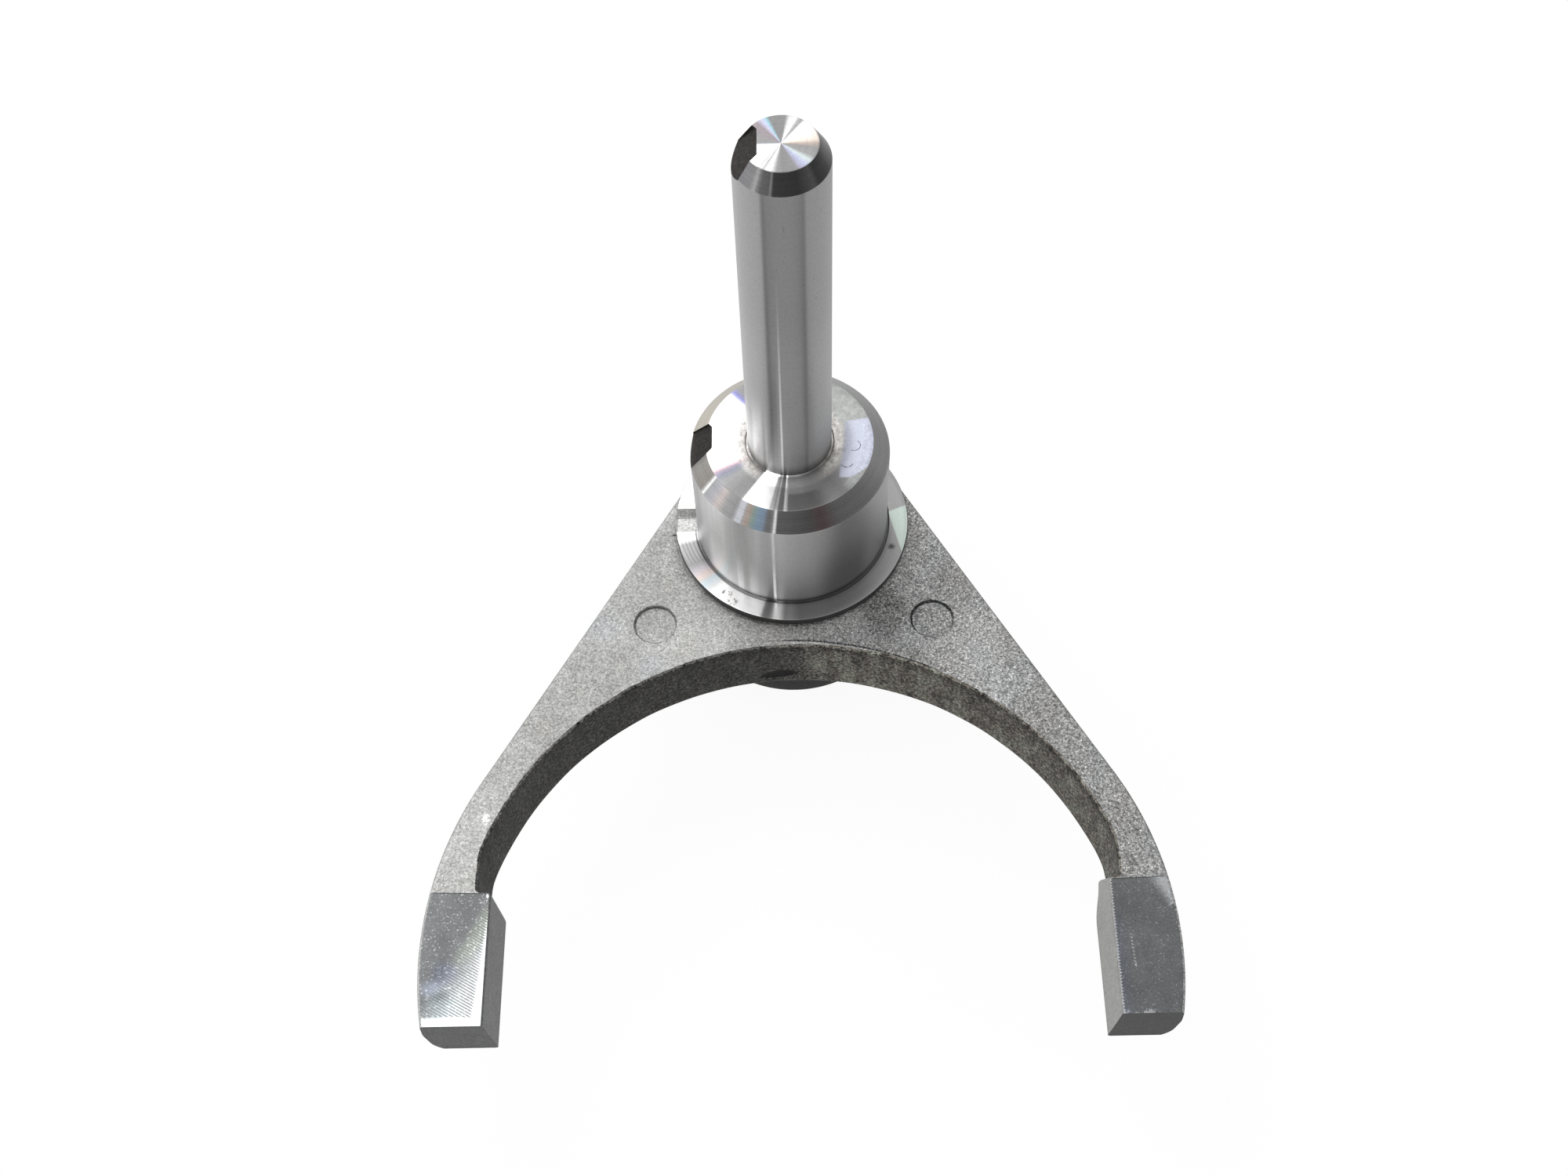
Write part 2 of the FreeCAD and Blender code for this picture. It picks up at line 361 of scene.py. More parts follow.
def arcSkin():
    # The gap's wall: painted dark as the shade that it stands in, warm and blotched towards +X, with a ragged
    # lip painted pale where its edge turns up to the light, and a pit near the middle, bumped and painted
    # dark as the shade inside it.
    f = arcLook
    material, kit, place = newMaterial("arcSkin")
    x, y, z = kit.parts(place)
    drag = kit.noise(kit.vector(x, y, z * 0.35), 0.5, 3.0, 0.6)
    blot = kit.noise(kit.vector(x, y, z * 0.8), 0.28, 2.0, 0.5)
    fine = kit.noise(place, 2.2, 3.0, 0.8)
    warm = kit.step(x, -6.0, 6.0)
    tone, dragGain, fineGain = kit.gained(warm, f["tone"], f["drag"], f["fine"])
    tone = tone + (drag - 0.5) * dragGain + (fine - 0.5) * fineGain + (blot - 0.5) * warm * 0.2
    ragged = z + (fine - 0.5) * 1.6 + (drag - 0.5)
    # Painted light at the top: the ragged lip is pale where its edge turns up to the light, with a darker
    # band below it.
    tone = tone - kit.step(ragged, -3.6, -1.8) * (warm * 0.06 + 0.03) + kit.step(ragged, -1.62, -1.42) * 0.22
    tone = tone - kit.step(x, -44.0, -47.0) * kit.step(y, -50.0, -60.0) * 0.08
    # The pit: bumped, and painted dark as the shade inside it.
    pitX = x - f["pit"][0]
    pitZ = (z - f["pit"][1] - pitX * 0.14) * 1.1
    pit = kit.spot(pitX, pitZ, (0.0, 0.0), 0.7, 1.45, 0.42, (fine - 0.5) * 0.8)
    green = kit.step(drag + (blot - 0.5) * 0.5, 0.48, 0.64) * warm
    tint = kit.mix(warm, (1.02, 1.0, 0.93, 1), (1.1, 1.0, 0.87, 1))
    tint = kit.mix(green, tint, (1.02, 1.03, 0.87, 1))
    finishMaterial(kit, {"Base Color": kit.painted(tone - pit * 0.4, tint, 0.05), "Metallic": 0.3,
                         "Roughness": 0.62, "Specular IOR Level": 0.15,
                         "Normal": kit.bump(fine * 0.8 + drag - pit * 1.5, 0.15 * mm, 0.7)})
    return material


milledLook = {
    "pitch": 0.38, "innerEdge": 44.85, "toeEdge": -81.9, "ticks": (47.3, -72.9),
    "wedge": (-45.9, -65.3), "strip": (-44.75, -66.5), "toeStrip": -80.9, "heelGlow": (-45.1, -62.8),
    "haze": (-52.2, -76.6), "violet": (-50.6, -74.4), "shadeBand": (-51.1, -77.6), "cyan": (-50.6, -79.2),
    "corner": (52.2, -65.9), "streakAt": -98.1,
}


def milledFace():
    # The pads' milled faces: fine slanting tool marks on grey; on the -X pad they flare into a white wedge
    # towards the toe, a painted reflection tinted green and blue at its edge, and both pads are specked and
    # scuffed.
    f = milledLook
    material, kit, place = newMaterial("milledFace")
    x, y, z = kit.parts(place)
    left = kit.step(x, 1.0, -1.0)
    right = 1 - left
    fine = kit.noise(place, 4.2, 3.0, 0.7)
    slow = kit.noise(place, 0.25, 2.0)
    blotch = kit.noise(place, 1.1, 2.0, 0.6)
    marks = kit.hatch(x * 0.5 + y * 0.866, f["pitch"]) * left
    marks = marks + kit.hatch(x * 0.78 - y * 0.62, f["pitch"]) * right
    tone = left * 0.04 + 0.395 + (slow - 0.5) * 0.1 + (fine - 0.5) * 0.22

    # The -X pad's painted glare: a wedge, a strip along the inner edge, another along the toe and a glow at
    # the heel, with a painted shade band and a pale haze.
    wedge = (x - f["wedge"][0]) * 0.88 - (y - f["wedge"][1]) * 0.475
    flare = kit.step(wedge, -0.9, 2.2) * left
    core = kit.step(wedge, 1.8, 4.4) * left
    stripEdge = x - f["strip"][0] - (y - f["strip"][1]) * 0.1
    strip = kit.step(stripEdge + (marks + fine - 1) * 0.3, -0.35, 0.1) * kit.step(y, -64.0, -67.0)
    heelGlow = kit.spot(x, y, f["heelGlow"], 0.05, 0.6, 2.0, (fine - 0.5) * 0.8)
    toeEdge = y - f["toeStrip"] + (fine - 0.5) * 0.5 + (marks - 0.5) * 0.3 * kit.step(x, -47.0, -49.0)
    toe = kit.step(toeEdge, 0.15, -0.15)
    shadeBand = kit.spot(x, y, f["shadeBand"], 0.2, 1.4, 0.8)
    haze = kit.spot(x, y, f["haze"], 0.3, 1.9, 0.8)
    tone = tone + flare * 0.17 + core * 0.15 + flare * (marks - 0.5) * (core * 0.2 + 0.18)
    tone = tone + ((strip + toe + heelGlow) * 0.6 - shadeBand * 0.1 + haze * 0.14) * left

    # The +X pad: a pale painted reflection in the corner behind, cut off by a painted streak, and a toothed
    # inner edge with burrs at the toe, painted pale where they catch the light.
    corner = (x - f["corner"][0]) * 0.8 + (y - f["corner"][1]) * 0.45 + (fine - 0.5) * 0.5
    streakAway = y - x * 0.6 - f["streakAt"]
    corner = kit.step(corner, 0.0, 1.9) * kit.step(streakAway, -0.3, 0.2)
    streak = kit.stripe(streakAway, 0.0, 0.05, 0.17) * kit.step(x, 52.4, 53.6)
    edge = kit.maths("ABSOLUTE", x) - f["innerEdge"]
    teeth = kit.step(edge + (kit.hatch(y, 0.45) - 0.5) * 0.3 + (fine - 0.5) * 0.5, 0.4, 0.12)
    burr = kit.stripe(y, f["toeEdge"], 0.1, 0.4) * kit.step(blotch, 0.52, 0.6)
    tone = tone + (corner * 0.26 + streak * 0.16 + teeth * 0.36 + burr * 0.22) * right

    speck = kit.step(kit.noise(place, 3.0, 2.0, 0.6) + left * 0.03, 0.6, 0.66) * kit.step(blotch, 0.42, 0.54)
    scuff = kit.noise(kit.vector(x * 0.6, y, z), 2.2, 3.0, 0.75)
    scuff = kit.step(scuff, 0.62, 0.68) * kit.step(slow, 0.46, 0.54)
    tickX, tickY = f["ticks"]
    ticks = kit.stripe(x + (y - tickY) * 0.05, tickX, 0.05, 0.15) * kit.stripe(y, tickY, 2.2, 0.8)
    ticks = ticks * kit.step(kit.hatch(y + x * 0.5, 0.5), 0.4, 0.7)
    tone = tone + (speck + scuff) * (left * 0.06 + 0.16) + ticks * 0.2

    # Painted colours in the -X pad's glare, green, violet and cyan, and a bluish tint along the +X pad's
    # inner edge.
    green = kit.step(wedge, -0.5, 0.8) * kit.step(wedge, 3.2, 1.6) * left * kit.step(y, -74.5, -71.0)
    violet = (kit.spot(x, y, f["violet"], 0.6, 2.6) + haze) * left
    bluish = right * kit.step(edge, 2.4, 0.8) * kit.step(y, -64.0, -70.0)
    cyan = kit.spot(x, y, f["cyan"], 0.5, 4.0) * left
    tint = (0.97, 1.0, 1.02, 1)
    for share, colour in ((green * 0.8, (0.98, 1.06, 0.95, 1)), (violet * 0.8, (0.86, 0.93, 1.14, 1)),
                          (bluish * 0.6, (0.86, 0.92, 1.1, 1)), (cyan * 0.6, (0.9, 1.04, 1.08, 1))):
        tint = kit.mix(share, tint, colour)
    finishMaterial(kit, {"Base Color": kit.painted(kit.maths("MINIMUM", tone, 1.0), tint, 0.1),
                         "Metallic": 0.85, "Roughness": 0.42,
                         "Normal": kit.bump(marks * (flare + 0.15) + fine * 0.8, 0.012 * mm, 0.6)})
    return material


def milledSide(name, tones, tint):
    # A pad's plain sides, with separate tones for the face towards the collar and for the toe, painted light
    # and shade for how each face is lit, and darker towards the bottom.
    material, kit, place = newMaterial(name)
    x, y, z = kit.parts(place)
    toe = kit.step(kit.facing(1), -0.5, -0.8)
    fine = kit.noise(place, 2.4, 3.0, 0.8)
    slow = kit.noise(kit.vector(x, y, z * 2.0), 0.35, 2.0)
    mottle = kit.step(kit.noise(place, 1.4, 2.0, 0.7), 0.6, 0.72)
    tone = toe * (tones[1] - tones[0]) + tones[0] + (fine - 0.5) * 0.42 + (slow - 0.5) * 0.07
    tone = tone - mottle * 0.07 - kit.step(z, -9.0, -10.8) * 0.05
    finishMaterial(kit, {"Base Color": kit.painted(tone, tint, 0.08), "Metallic": 0.5, "Roughness": 0.5,
                         "Normal": kit.bump(fine, 0.03 * mm, 0.6)})
    return material


def turnedFinish(name, sectors, rings, ringScale, extra=None, gloss=0.32, metallic=0.9):
    # Turned metal in display tones: the sectors fan out about the axis as painted reflections, and fine rings
    # run round it.
    # Where the tone passes white the surface glows a little, painted glare given as emission. Extra adds one
    # zone's own marks.
    material, kit, place = newMaterial(name)
    x, y, z = kit.parts(place)
    angle = kit.maths("ARCTAN2", y, x)
    radius = kit.distance(x, y, (0.0, 0.0))
    fan = kit.add("ValToRGB", {"stops": sectors}, {"Fac": angle / (2 * math.pi) + 0.5}, take="Color")
    grooves = kit.noise(kit.vector(radius, z, 0.0), ringScale, 3.0, 0.7)
    grain = kit.noise(place, 3.5, 3.0, 0.8)
    gain = (grooves - 0.5) * rings + (grain - 0.5) * 0.5 + 1
    if extra is not None:
        around = {"x": x, "y": y, "z": z, "radius": radius, "angle": angle * (180 / math.pi), "grain": grain}
        gain, fan = extra(kit, around, gain, fan)
    colour = kit.add("VectorMath", {"operation": "SCALE"}, {0: fan, "Scale": gain})
    # Painted glare: the tone above white is sent out as emission.
    glare = kit.add("VectorMath", {"operation": "SUBTRACT"}, {0: colour, 1: (1.0, 1.0, 1.0)})
    glare = kit.add("VectorMath", {"operation": "MAXIMUM"}, {0: glare, 1: (0.0, 0.0, 0.0)})
    colour = kit.add("VectorMath", {"operation": "MINIMUM"}, {0: colour, 1: (1.0, 1.0, 1.0)})
    finishMaterial(kit, {"Base Color": colour, "Metallic": metallic, "Roughness": gloss,
                         "Emission Color": glare, "Emission Strength": 1.0,
                         "Anisotropic": 0.6, "Anisotropic Rotation": 0.25,
                         "Normal": kit.bump(grooves, 0.004 * mm)})
    return material


# Painted highlights and shades are (middle, half width, fade) in degrees from +X, then their strength.
turnedLook = {
    "shaftLine": (-99.8, 0.5, 1.5), "shaftGlows": ((-137.0, 5.0, 9.0, 0.9), (-121.8, 1.0, 2.5, 0.63)),
    "shaftDim": (-108.5, 2.5, 3.0), "shaftFoot": 22.3,
    "hubGlows": ((-141.0, 3.0, 8.0, 0.5), (-122.0, 0.8, 2.5, 0.5), (-113.5, 1.0, 3.0, 0.35)),
    "hubLine": (-100.6, 0.4, 0.8), "hubShade": (-57.0, 8.0, 14.0),
    "windowTint": (0.455, 0.475, 0.56, 1.0), "backTint": (0.355, 0.365, 0.355, 1.0),
    "rootTint": (0.42, 0.4, 0.38, 1.0), "rustTint": (0.16, 0.11, 0.09, 1.0),
    "curls": ((9.7, -1.1), (8.5, -4.1)), "curlRadius": 0.95,
    "specks": (((-10.5, -13.5), 1.3), ((-9.5, -14.9), 1.1)), "speckTint": (0.12, 0.08, 0.06, 1.0),
    "paleReflectionTint": (0.46, 0.53, 0.49, 1.0), "dent": (15.75, -5.42), "flangeRoot": 15.3,
}


def shaftMarks(kit, around, gain, fan):
    # Painted light and shade on the shaft: a thin highlight down the front that grows towards the base, a
    # bright foot with glows, a dim band, a shade where it meets the hub, and a few dark scratches.
    f = turnedLook
    x, y, z, angle = (around[name] for name in ("x", "y", "z", "angle"))
    foot = kit.step(z, 42.0, 25.0)
    change = kit.stripe(angle, *f["shaftLine"]) * kit.step(z, 70.0, 26.0) * 1.5
    for middle, half, fade, light in f["shaftGlows"]:
        change = change + kit.stripe(angle, middle, half, fade) * foot * light
    dim = kit.stripe(angle, *f["shaftDim"]) * kit.step(z, 56.0, 34.0)
    scratch = kit.step(kit.noise(kit.vector(x * 2.2, y * 2.2, z * 0.8), 0.9, 3.0, 0.7), 0.66, 0.72)
    change = change - (dim + scratch) * 0.28 + kit.step(z, 62.0, 46.0) * 0.1
    change = change + foot * (kit.step(x, 2.0, -2.0) * 0.18 + 0.12)
    contact = kit.step(z, f["shaftFoot"] + 2.7, f["shaftFoot"])
    return gain * (change + 1) * (1 - contact * 0.55), fan


def hubTopMarks(kit, around, gain, fan):
    # A painted window reflection, pale and scratched, on the +X side, a painted dark reflection over the
    # outer part in front with a brighter inner part, and a speckled ring where the shaft meets the face.
    f = turnedLook
    x, y, radius, angle, grain = (around[name] for name in ("x", "y", "radius", "angle", "grain"))
    dark = kit.step(angle, -92.8, -91.8) * kit.step(angle, -58.0, -74.0) * kit.step(radius, 9.3, 10.0)
    inner = kit.step(radius, 9.0, 8.2) * kit.step(y, -3.0, -5.0)
    gain = gain * (1 - dark * 0.45) * (inner * 0.38 + 1)
    speckle = kit.noise(kit.vector(x, y, 1.0), 1.3, 4.0, 0.75)
    back = kit.step(angle, 19.0, 24.0) * kit.step(angle, 75.0, 60.0)
    rim = kit.step(angle, -48.0, -42.0) * kit.step(angle, 24.0, 19.0) * kit.step(radius, 11.0, 11.4)
    fan = kit.mix(back * 0.9 + rim * 0.6, fan, f["backTint"])
    gain = gain * ((back + rim) * (speckle - 0.52) * 1.1 + 1)
    window = kit.step(x - y * 0.12, 7.9, 8.4) * kit.step(y - x * 0.17, 2.1, 1.7) * kit.step(y, -7.1, -6.6)
    window = window * kit.step(radius - (y + 6.8) * 0.6, 11.7, 11.3)
    curls = kit.stripe(kit.distance(x, y, f["curls"][0]), f["curlRadius"], 0.02, 0.1)
    curls = curls * kit.step(x - y * 0.6, 10.2, 10.6)
    lower = kit.stripe(kit.distance(x, y, f["curls"][1]), f["curlRadius"], 0.03, 0.12)
    curls = curls + lower * kit.step(y, -4.2, -4.7)
    pits = kit.step(speckle, 0.66, 0.7) * kit.step(radius, 11.0, 12.2)
    fan = kit.mix(window, fan, f["windowTint"])
    gain = gain * (1 - window * kit.step(radius, 10.6, 8.4) * 0.42)
    gain = gain * (1 - window * (curls * kit.step(grain, 0.4, 0.5) * 0.75 + pits * 0.5))
    root = kit.step(radius + (grain - 0.5) * 3.0, 8.9, 7.6) * kit.step(kit.maths("ABSOLUTE", x), 3.5, 5.5)
    fan = kit.mix(root * 0.85, fan, f["rootTint"])
    gain = gain * (root * (speckle - 0.5) * 2.4 + 1)
    rust = kit.step(speckle, 0.58, 0.66) * kit.step(radius, 9.0, 8.0) * kit.step(x, -4.0, -6.0)
    return gain, kit.mix(rust * 0.7, fan, f["rustTint"])


def hubSideMarks(kit, around, gain, fan):
    # Painted highlights that rise from the foot on the -X side among faint painted streaks, a painted shade
    # that gathers low on the +X side, and a painted shade along the foot.
    f = turnedLook
    x, y, z, angle = (around[name] for name in ("x", "y", "z", "angle"))
    low = kit.step(z, 12.0, 2.0)
    streaks = kit.noise(kit.vector(x, y, z * 0.05), 0.55, 3.0, 0.7)
    gain = gain * (kit.step(x, 0.0, -6.0) * (streaks - 0.5) * 0.4 + 1)
    for middle, half, fade, light in f["hubGlows"]:
        gain = gain * (kit.stripe(angle, middle, half, fade) * low * light + 1)
    gain = gain * (kit.stripe(angle, *f["hubLine"]) * (low * 1.6 + 0.5) + 1)
    gain = gain * (1 - kit.stripe(angle, *f["hubShade"]) * (kit.step(z, 17.0, 4.0) * 0.32 + 0.06))
    return gain * (1 - kit.step(z, 1.1, 0.2) * 0.55), fan


def flangeMarks(kit, around, gain, fan):
    # A pale greenish painted reflection on the +X side, brown specks at the front left, a small dent, and
    # painted shade round the root by the hub.
    f = turnedLook
    x, y, radius, angle, grain = (around[name] for name in ("x", "y", "radius", "angle", "grain"))
    paleReflection = kit.step((x - 15.4) * 0.97 + (y - 1.4) * 0.24, -0.05, 0.1) * kit.step(y - x * 0.43, -5.3, -5.7)
    fan = kit.mix(paleReflection * 0.9, fan, f["paleReflectionTint"])
    lines = kit.hatch(radius + x * 0.15, 0.5) - 0.5
    gain = gain * (kit.step(angle, -150.0, -158.0) * kit.step(angle, -172.0, -168.0) * lines * 0.4 + 1)
    speckle = kit.step(kit.noise(kit.vector(x, y, 2.0), 1.5, 4.0, 0.7), 0.5, 0.58)
    for spot, size in f["specks"]:
        fan = kit.mix(kit.spot(x, y, spot, 0.3, size) * speckle, fan, f["speckTint"])
    gain = gain * (1 - kit.spot(x, y, f["dent"], 0.2, 0.8, 1.0, (grain - 0.5) * 1.4) * 0.7)
    return gain * (1 - kit.step(radius, f["flangeRoot"] + 0.4, f["flangeRoot"]) * 0.5), fan


def notchSkin():
    # The cast skin that the turning left in the notches, painted dark as the shade inside them.
    material, kit, place = newMaterial("notchSkin")
    fine = kit.noise(place, 1.8, 3.0, 0.7)
    finishMaterial(kit, {"Base Color": kit.painted((fine - 0.5) * 0.26 + 0.2, (1.1, 1.0, 0.95), 0.06),
                         "Metallic": 0.2, "Specular IOR Level": 0.2, "Roughness": 0.7,
                         "Normal": kit.bump(fine, 0.2 * mm, 0.8)})
    return material


# Painted reflections: tones round the axis, as (degrees from +X, display tone or colour).
fans = {
    "tipFace": [(-180, 0.76), (-175, (0.8, 0.84, 0.95)), (-170, 0.95), (-130, 1.0), (-126, 0.72), (-122, 0.9),
                (-119, 0.66), (-114, 0.86), (-108, 0.92), (-98, 0.6), (-88, 0.55), (-66, 0.58),
                (-60, (0.68, 0.67, 0.76)), (-50, (0.74, 0.76, 0.86)), (-40, (0.8, 0.84, 0.84)), (-30, 0.6),
                (-12, 0.55), (-2, (0.66, 0.61, 0.58)), (8, (0.84, 0.79, 0.75)), (22, (0.9, 0.87, 0.84)),
                (34, 0.95), (50, 0.95), (55, 0.6), (60, 0.66), (66, 0.95), (76, 0.86), (82, 0.55),
                (108, 0.56), (114, (0.64, 0.8, 0.85)), (120, (0.8, 0.8, 0.9)), (130, (0.62, 0.58, 0.6)),
                (165, 0.56)],
    "tipChamfer": [(-180, 0.44), (-160, (0.5, 0.49, 0.52)), (-130, 0.54), (-124, 0.66), (-120, 0.5),
                   (-116, 0.4), (-106, 0.38), (-104, 0.52), (-101, 0.25), (-70, 0.22), (-50, 0.31),
                   (-42, 0.22), (-20, 0.24), (-8, 0.3), (20, 0.27), (60, 0.35), (120, 0.5), (160, 0.45)],
    "shaft": [(-180, 0.62), (-160, 0.66), (-118, 0.63), (-113.5, 0.47), (-109, 0.53), (-72, 0.53),
              (-66, 0.48), (-62, 0.57), (-25, 0.58), (0, 0.54), (60, 0.5), (120, 0.6)],
    "hubTop": [(-180, 1.1), (-158, 1.1), (-156, (0.95, 0.78, 0.79)), (-153.5, (0.62, 0.57, 0.62)),
               (-150, (0.5, 0.51, 0.56)), (-144, 0.57), (-133, 0.52), (-125.2, 0.54), (-124.2, 1.1),
               (-105.4, 1.1), (-104, 0.86), (-102.2, 0.82), (-101.5, 0.58), (-100.8, 0.9), (-99.2, 0.9),
               (-98.6, 0.56), (-95.6, 0.55), (-95, 1.05), (-93.2, 1.05), (-92.6, 0.76),
               (-80, 0.74), (-68, 0.62), (-50, 0.5), (-42, 0.5), (-20, 0.56), (60, 0.62), (90, 0.55),
               (128, 0.55), (133, (0.52, 0.52, 0.74)), (138, 1.1), (160, 1.1)],
    "hubChamfer": [(-180, 0.52), (-171, 0.47), (-166, (0.58, 0.57, 0.55)), (-152, (0.56, 0.545, 0.53)),
                   (-151.4, 1.1), (-150.6, 1.1), (-150, 0.66), (-145, (0.68, 0.68, 0.71)),
                   (-138, (0.78, 0.74, 0.73)), (-133, 0.63), (-125.5, 0.58), (-124.3, (0.78, 0.78, 0.81)),
                   (-120.5, (0.78, 0.78, 0.81)), (-119.8, 0.64), (-117.5, (0.68, 0.6, 0.56)),
                   (-114, (0.54, 0.6, 0.58)), (-110, (0.5, 0.58, 0.66)), (-106.5, (0.5, 0.55, 0.61)),
                   (-105, 0.43), (-101.3, 0.45), (-100.8, 0.95), (-99.3, 0.95), (-98.8, 0.38), (-92, 0.36),
                   (-80, 0.31), (-71, (0.32, 0.27, 0.275)), (-60, 0.37), (-40, 0.41), (-17, 0.5), (10, 0.47),
                   (60, 0.52), (150, (0.72, 0.7, 0.66))],
    "hubSide": [(-180, 0.66), (-165, 0.63), (-158, 0.65), (-152, 0.73), (-146, 0.8), (-140, 0.86),
                (-134, 0.89), (-128, 0.81), (-122, 0.76), (-116, 0.71), (-110, 0.71), (-104, 0.64),
                (-97, 0.66), (-92, 0.62), (-86, 0.59), (-76, 0.57), (-66, 0.57), (-56, 0.56),
                (-40, 0.55), (-20, 0.53), (60, 0.5), (120, 0.6), (160, 0.66)],
    "flangeFace": [(-180, 1.0), (-168.6, 1.0), (-167, 0.58), (-153, 0.52), (-148, (0.68, 0.66, 0.68)),
                   (-144, (0.78, 0.72, 0.69)), (-140, (0.72, 0.78, 0.81)), (-136, 0.84), (-132, 1.04),
                   (-107, 1.04), (-105.5, 0.6), (-103.5, 0.5), (-101.5, 0.6), (-99.5, 1.0), (-96.5, 0.95),
                   (-95, 0.6), (-92, 0.66), (-87, 0.54), (-76, 0.58), (-40, 0.6), (-20, 0.57), (10, 0.56),
                   (40, 0.55), (90, 0.6), (130, 0.7), (140, 1.0), (165, 1.0)],
    # The rim is painted dark, as the shade that its outer wall stands in.
    "flangeRim": [(-180, 0.4), (-150, 0.36), (-125, 0.24), (-60, 0.2), (60, 0.24), (120, 0.3)],
}


# The cast fork

# Sides are the +X and the -X arm. Sweeps are angles about the collar's axis, in radians.
fork = {
    "webTop": -1.2, "thickness": 11.0, "gapRadius": 49.2, "gapCentre": -71.6, "armRadius": 54.5,
    "noseRadius": 18.75, "wallDraft": 2.0, "partingDrop": 3.5, "bellyDraft": 9.0,
    "padDraft": 6.2, "padFall": 10.5, "padSkim": 0.12, "padBottom": 9.6, "padCorner": 0.7, "heelCorner": 0.6,
    "wallLean": 0.045, "wallBlend": 0.4, "reliefLength": 7.0, "endDraft": 1.5,
    "sides": ({"padFace": 44.85, "rise": 9.85, "draft": 19.5, "edge": 0.8, "wall": 46.6, "relief": 0.9},
              {"padFace": 44.65, "rise": 9.5, "draft": -4.0, "edge": 0.8, "wall": 46.8, "relief": 0.0}),
    "endSweep": (0.35, 0.9), "armSweep": (0.17, 0.4), "heelShare": 0.4, "rows": (26, 5, 6, 9, 220),
    "crownEdge": 0.8, "bellyEdge": 4.2, "gapEdge": 0.25, "gapFoot": 0.5,
    "roughEnd": (60.5, 62.0), "ripples": ((7.0, 11, 0.05), (2.4, 12, 0.025)),
    "gapRipple": (6.0, 13, 0.03), "lipRipple": (1.3, 14, 0.05), "lipDepth": 1.2,
    "ejectorRadius": 3.27, "ejectorDepth": 0.35, "ejectorPlaces": ((-21.65, -18.1), (21.65, -18.1)),
    "bossHead": -5.2, "bossTop": 18.3, "bossFoot": 17.84, "bossBottom": -25.5, "bossEdge": 1.2,
}


def slope(angle):
    return math.tan(math.radians(angle))


def roundOff(depth, radius):
    # How far a rounded edge stands in from its wall, at a depth inside the rounding.
    inside = np.clip(radius - depth, 0, radius)
    return radius - np.sqrt(np.maximum(radius ** 2 - inside ** 2, 0))


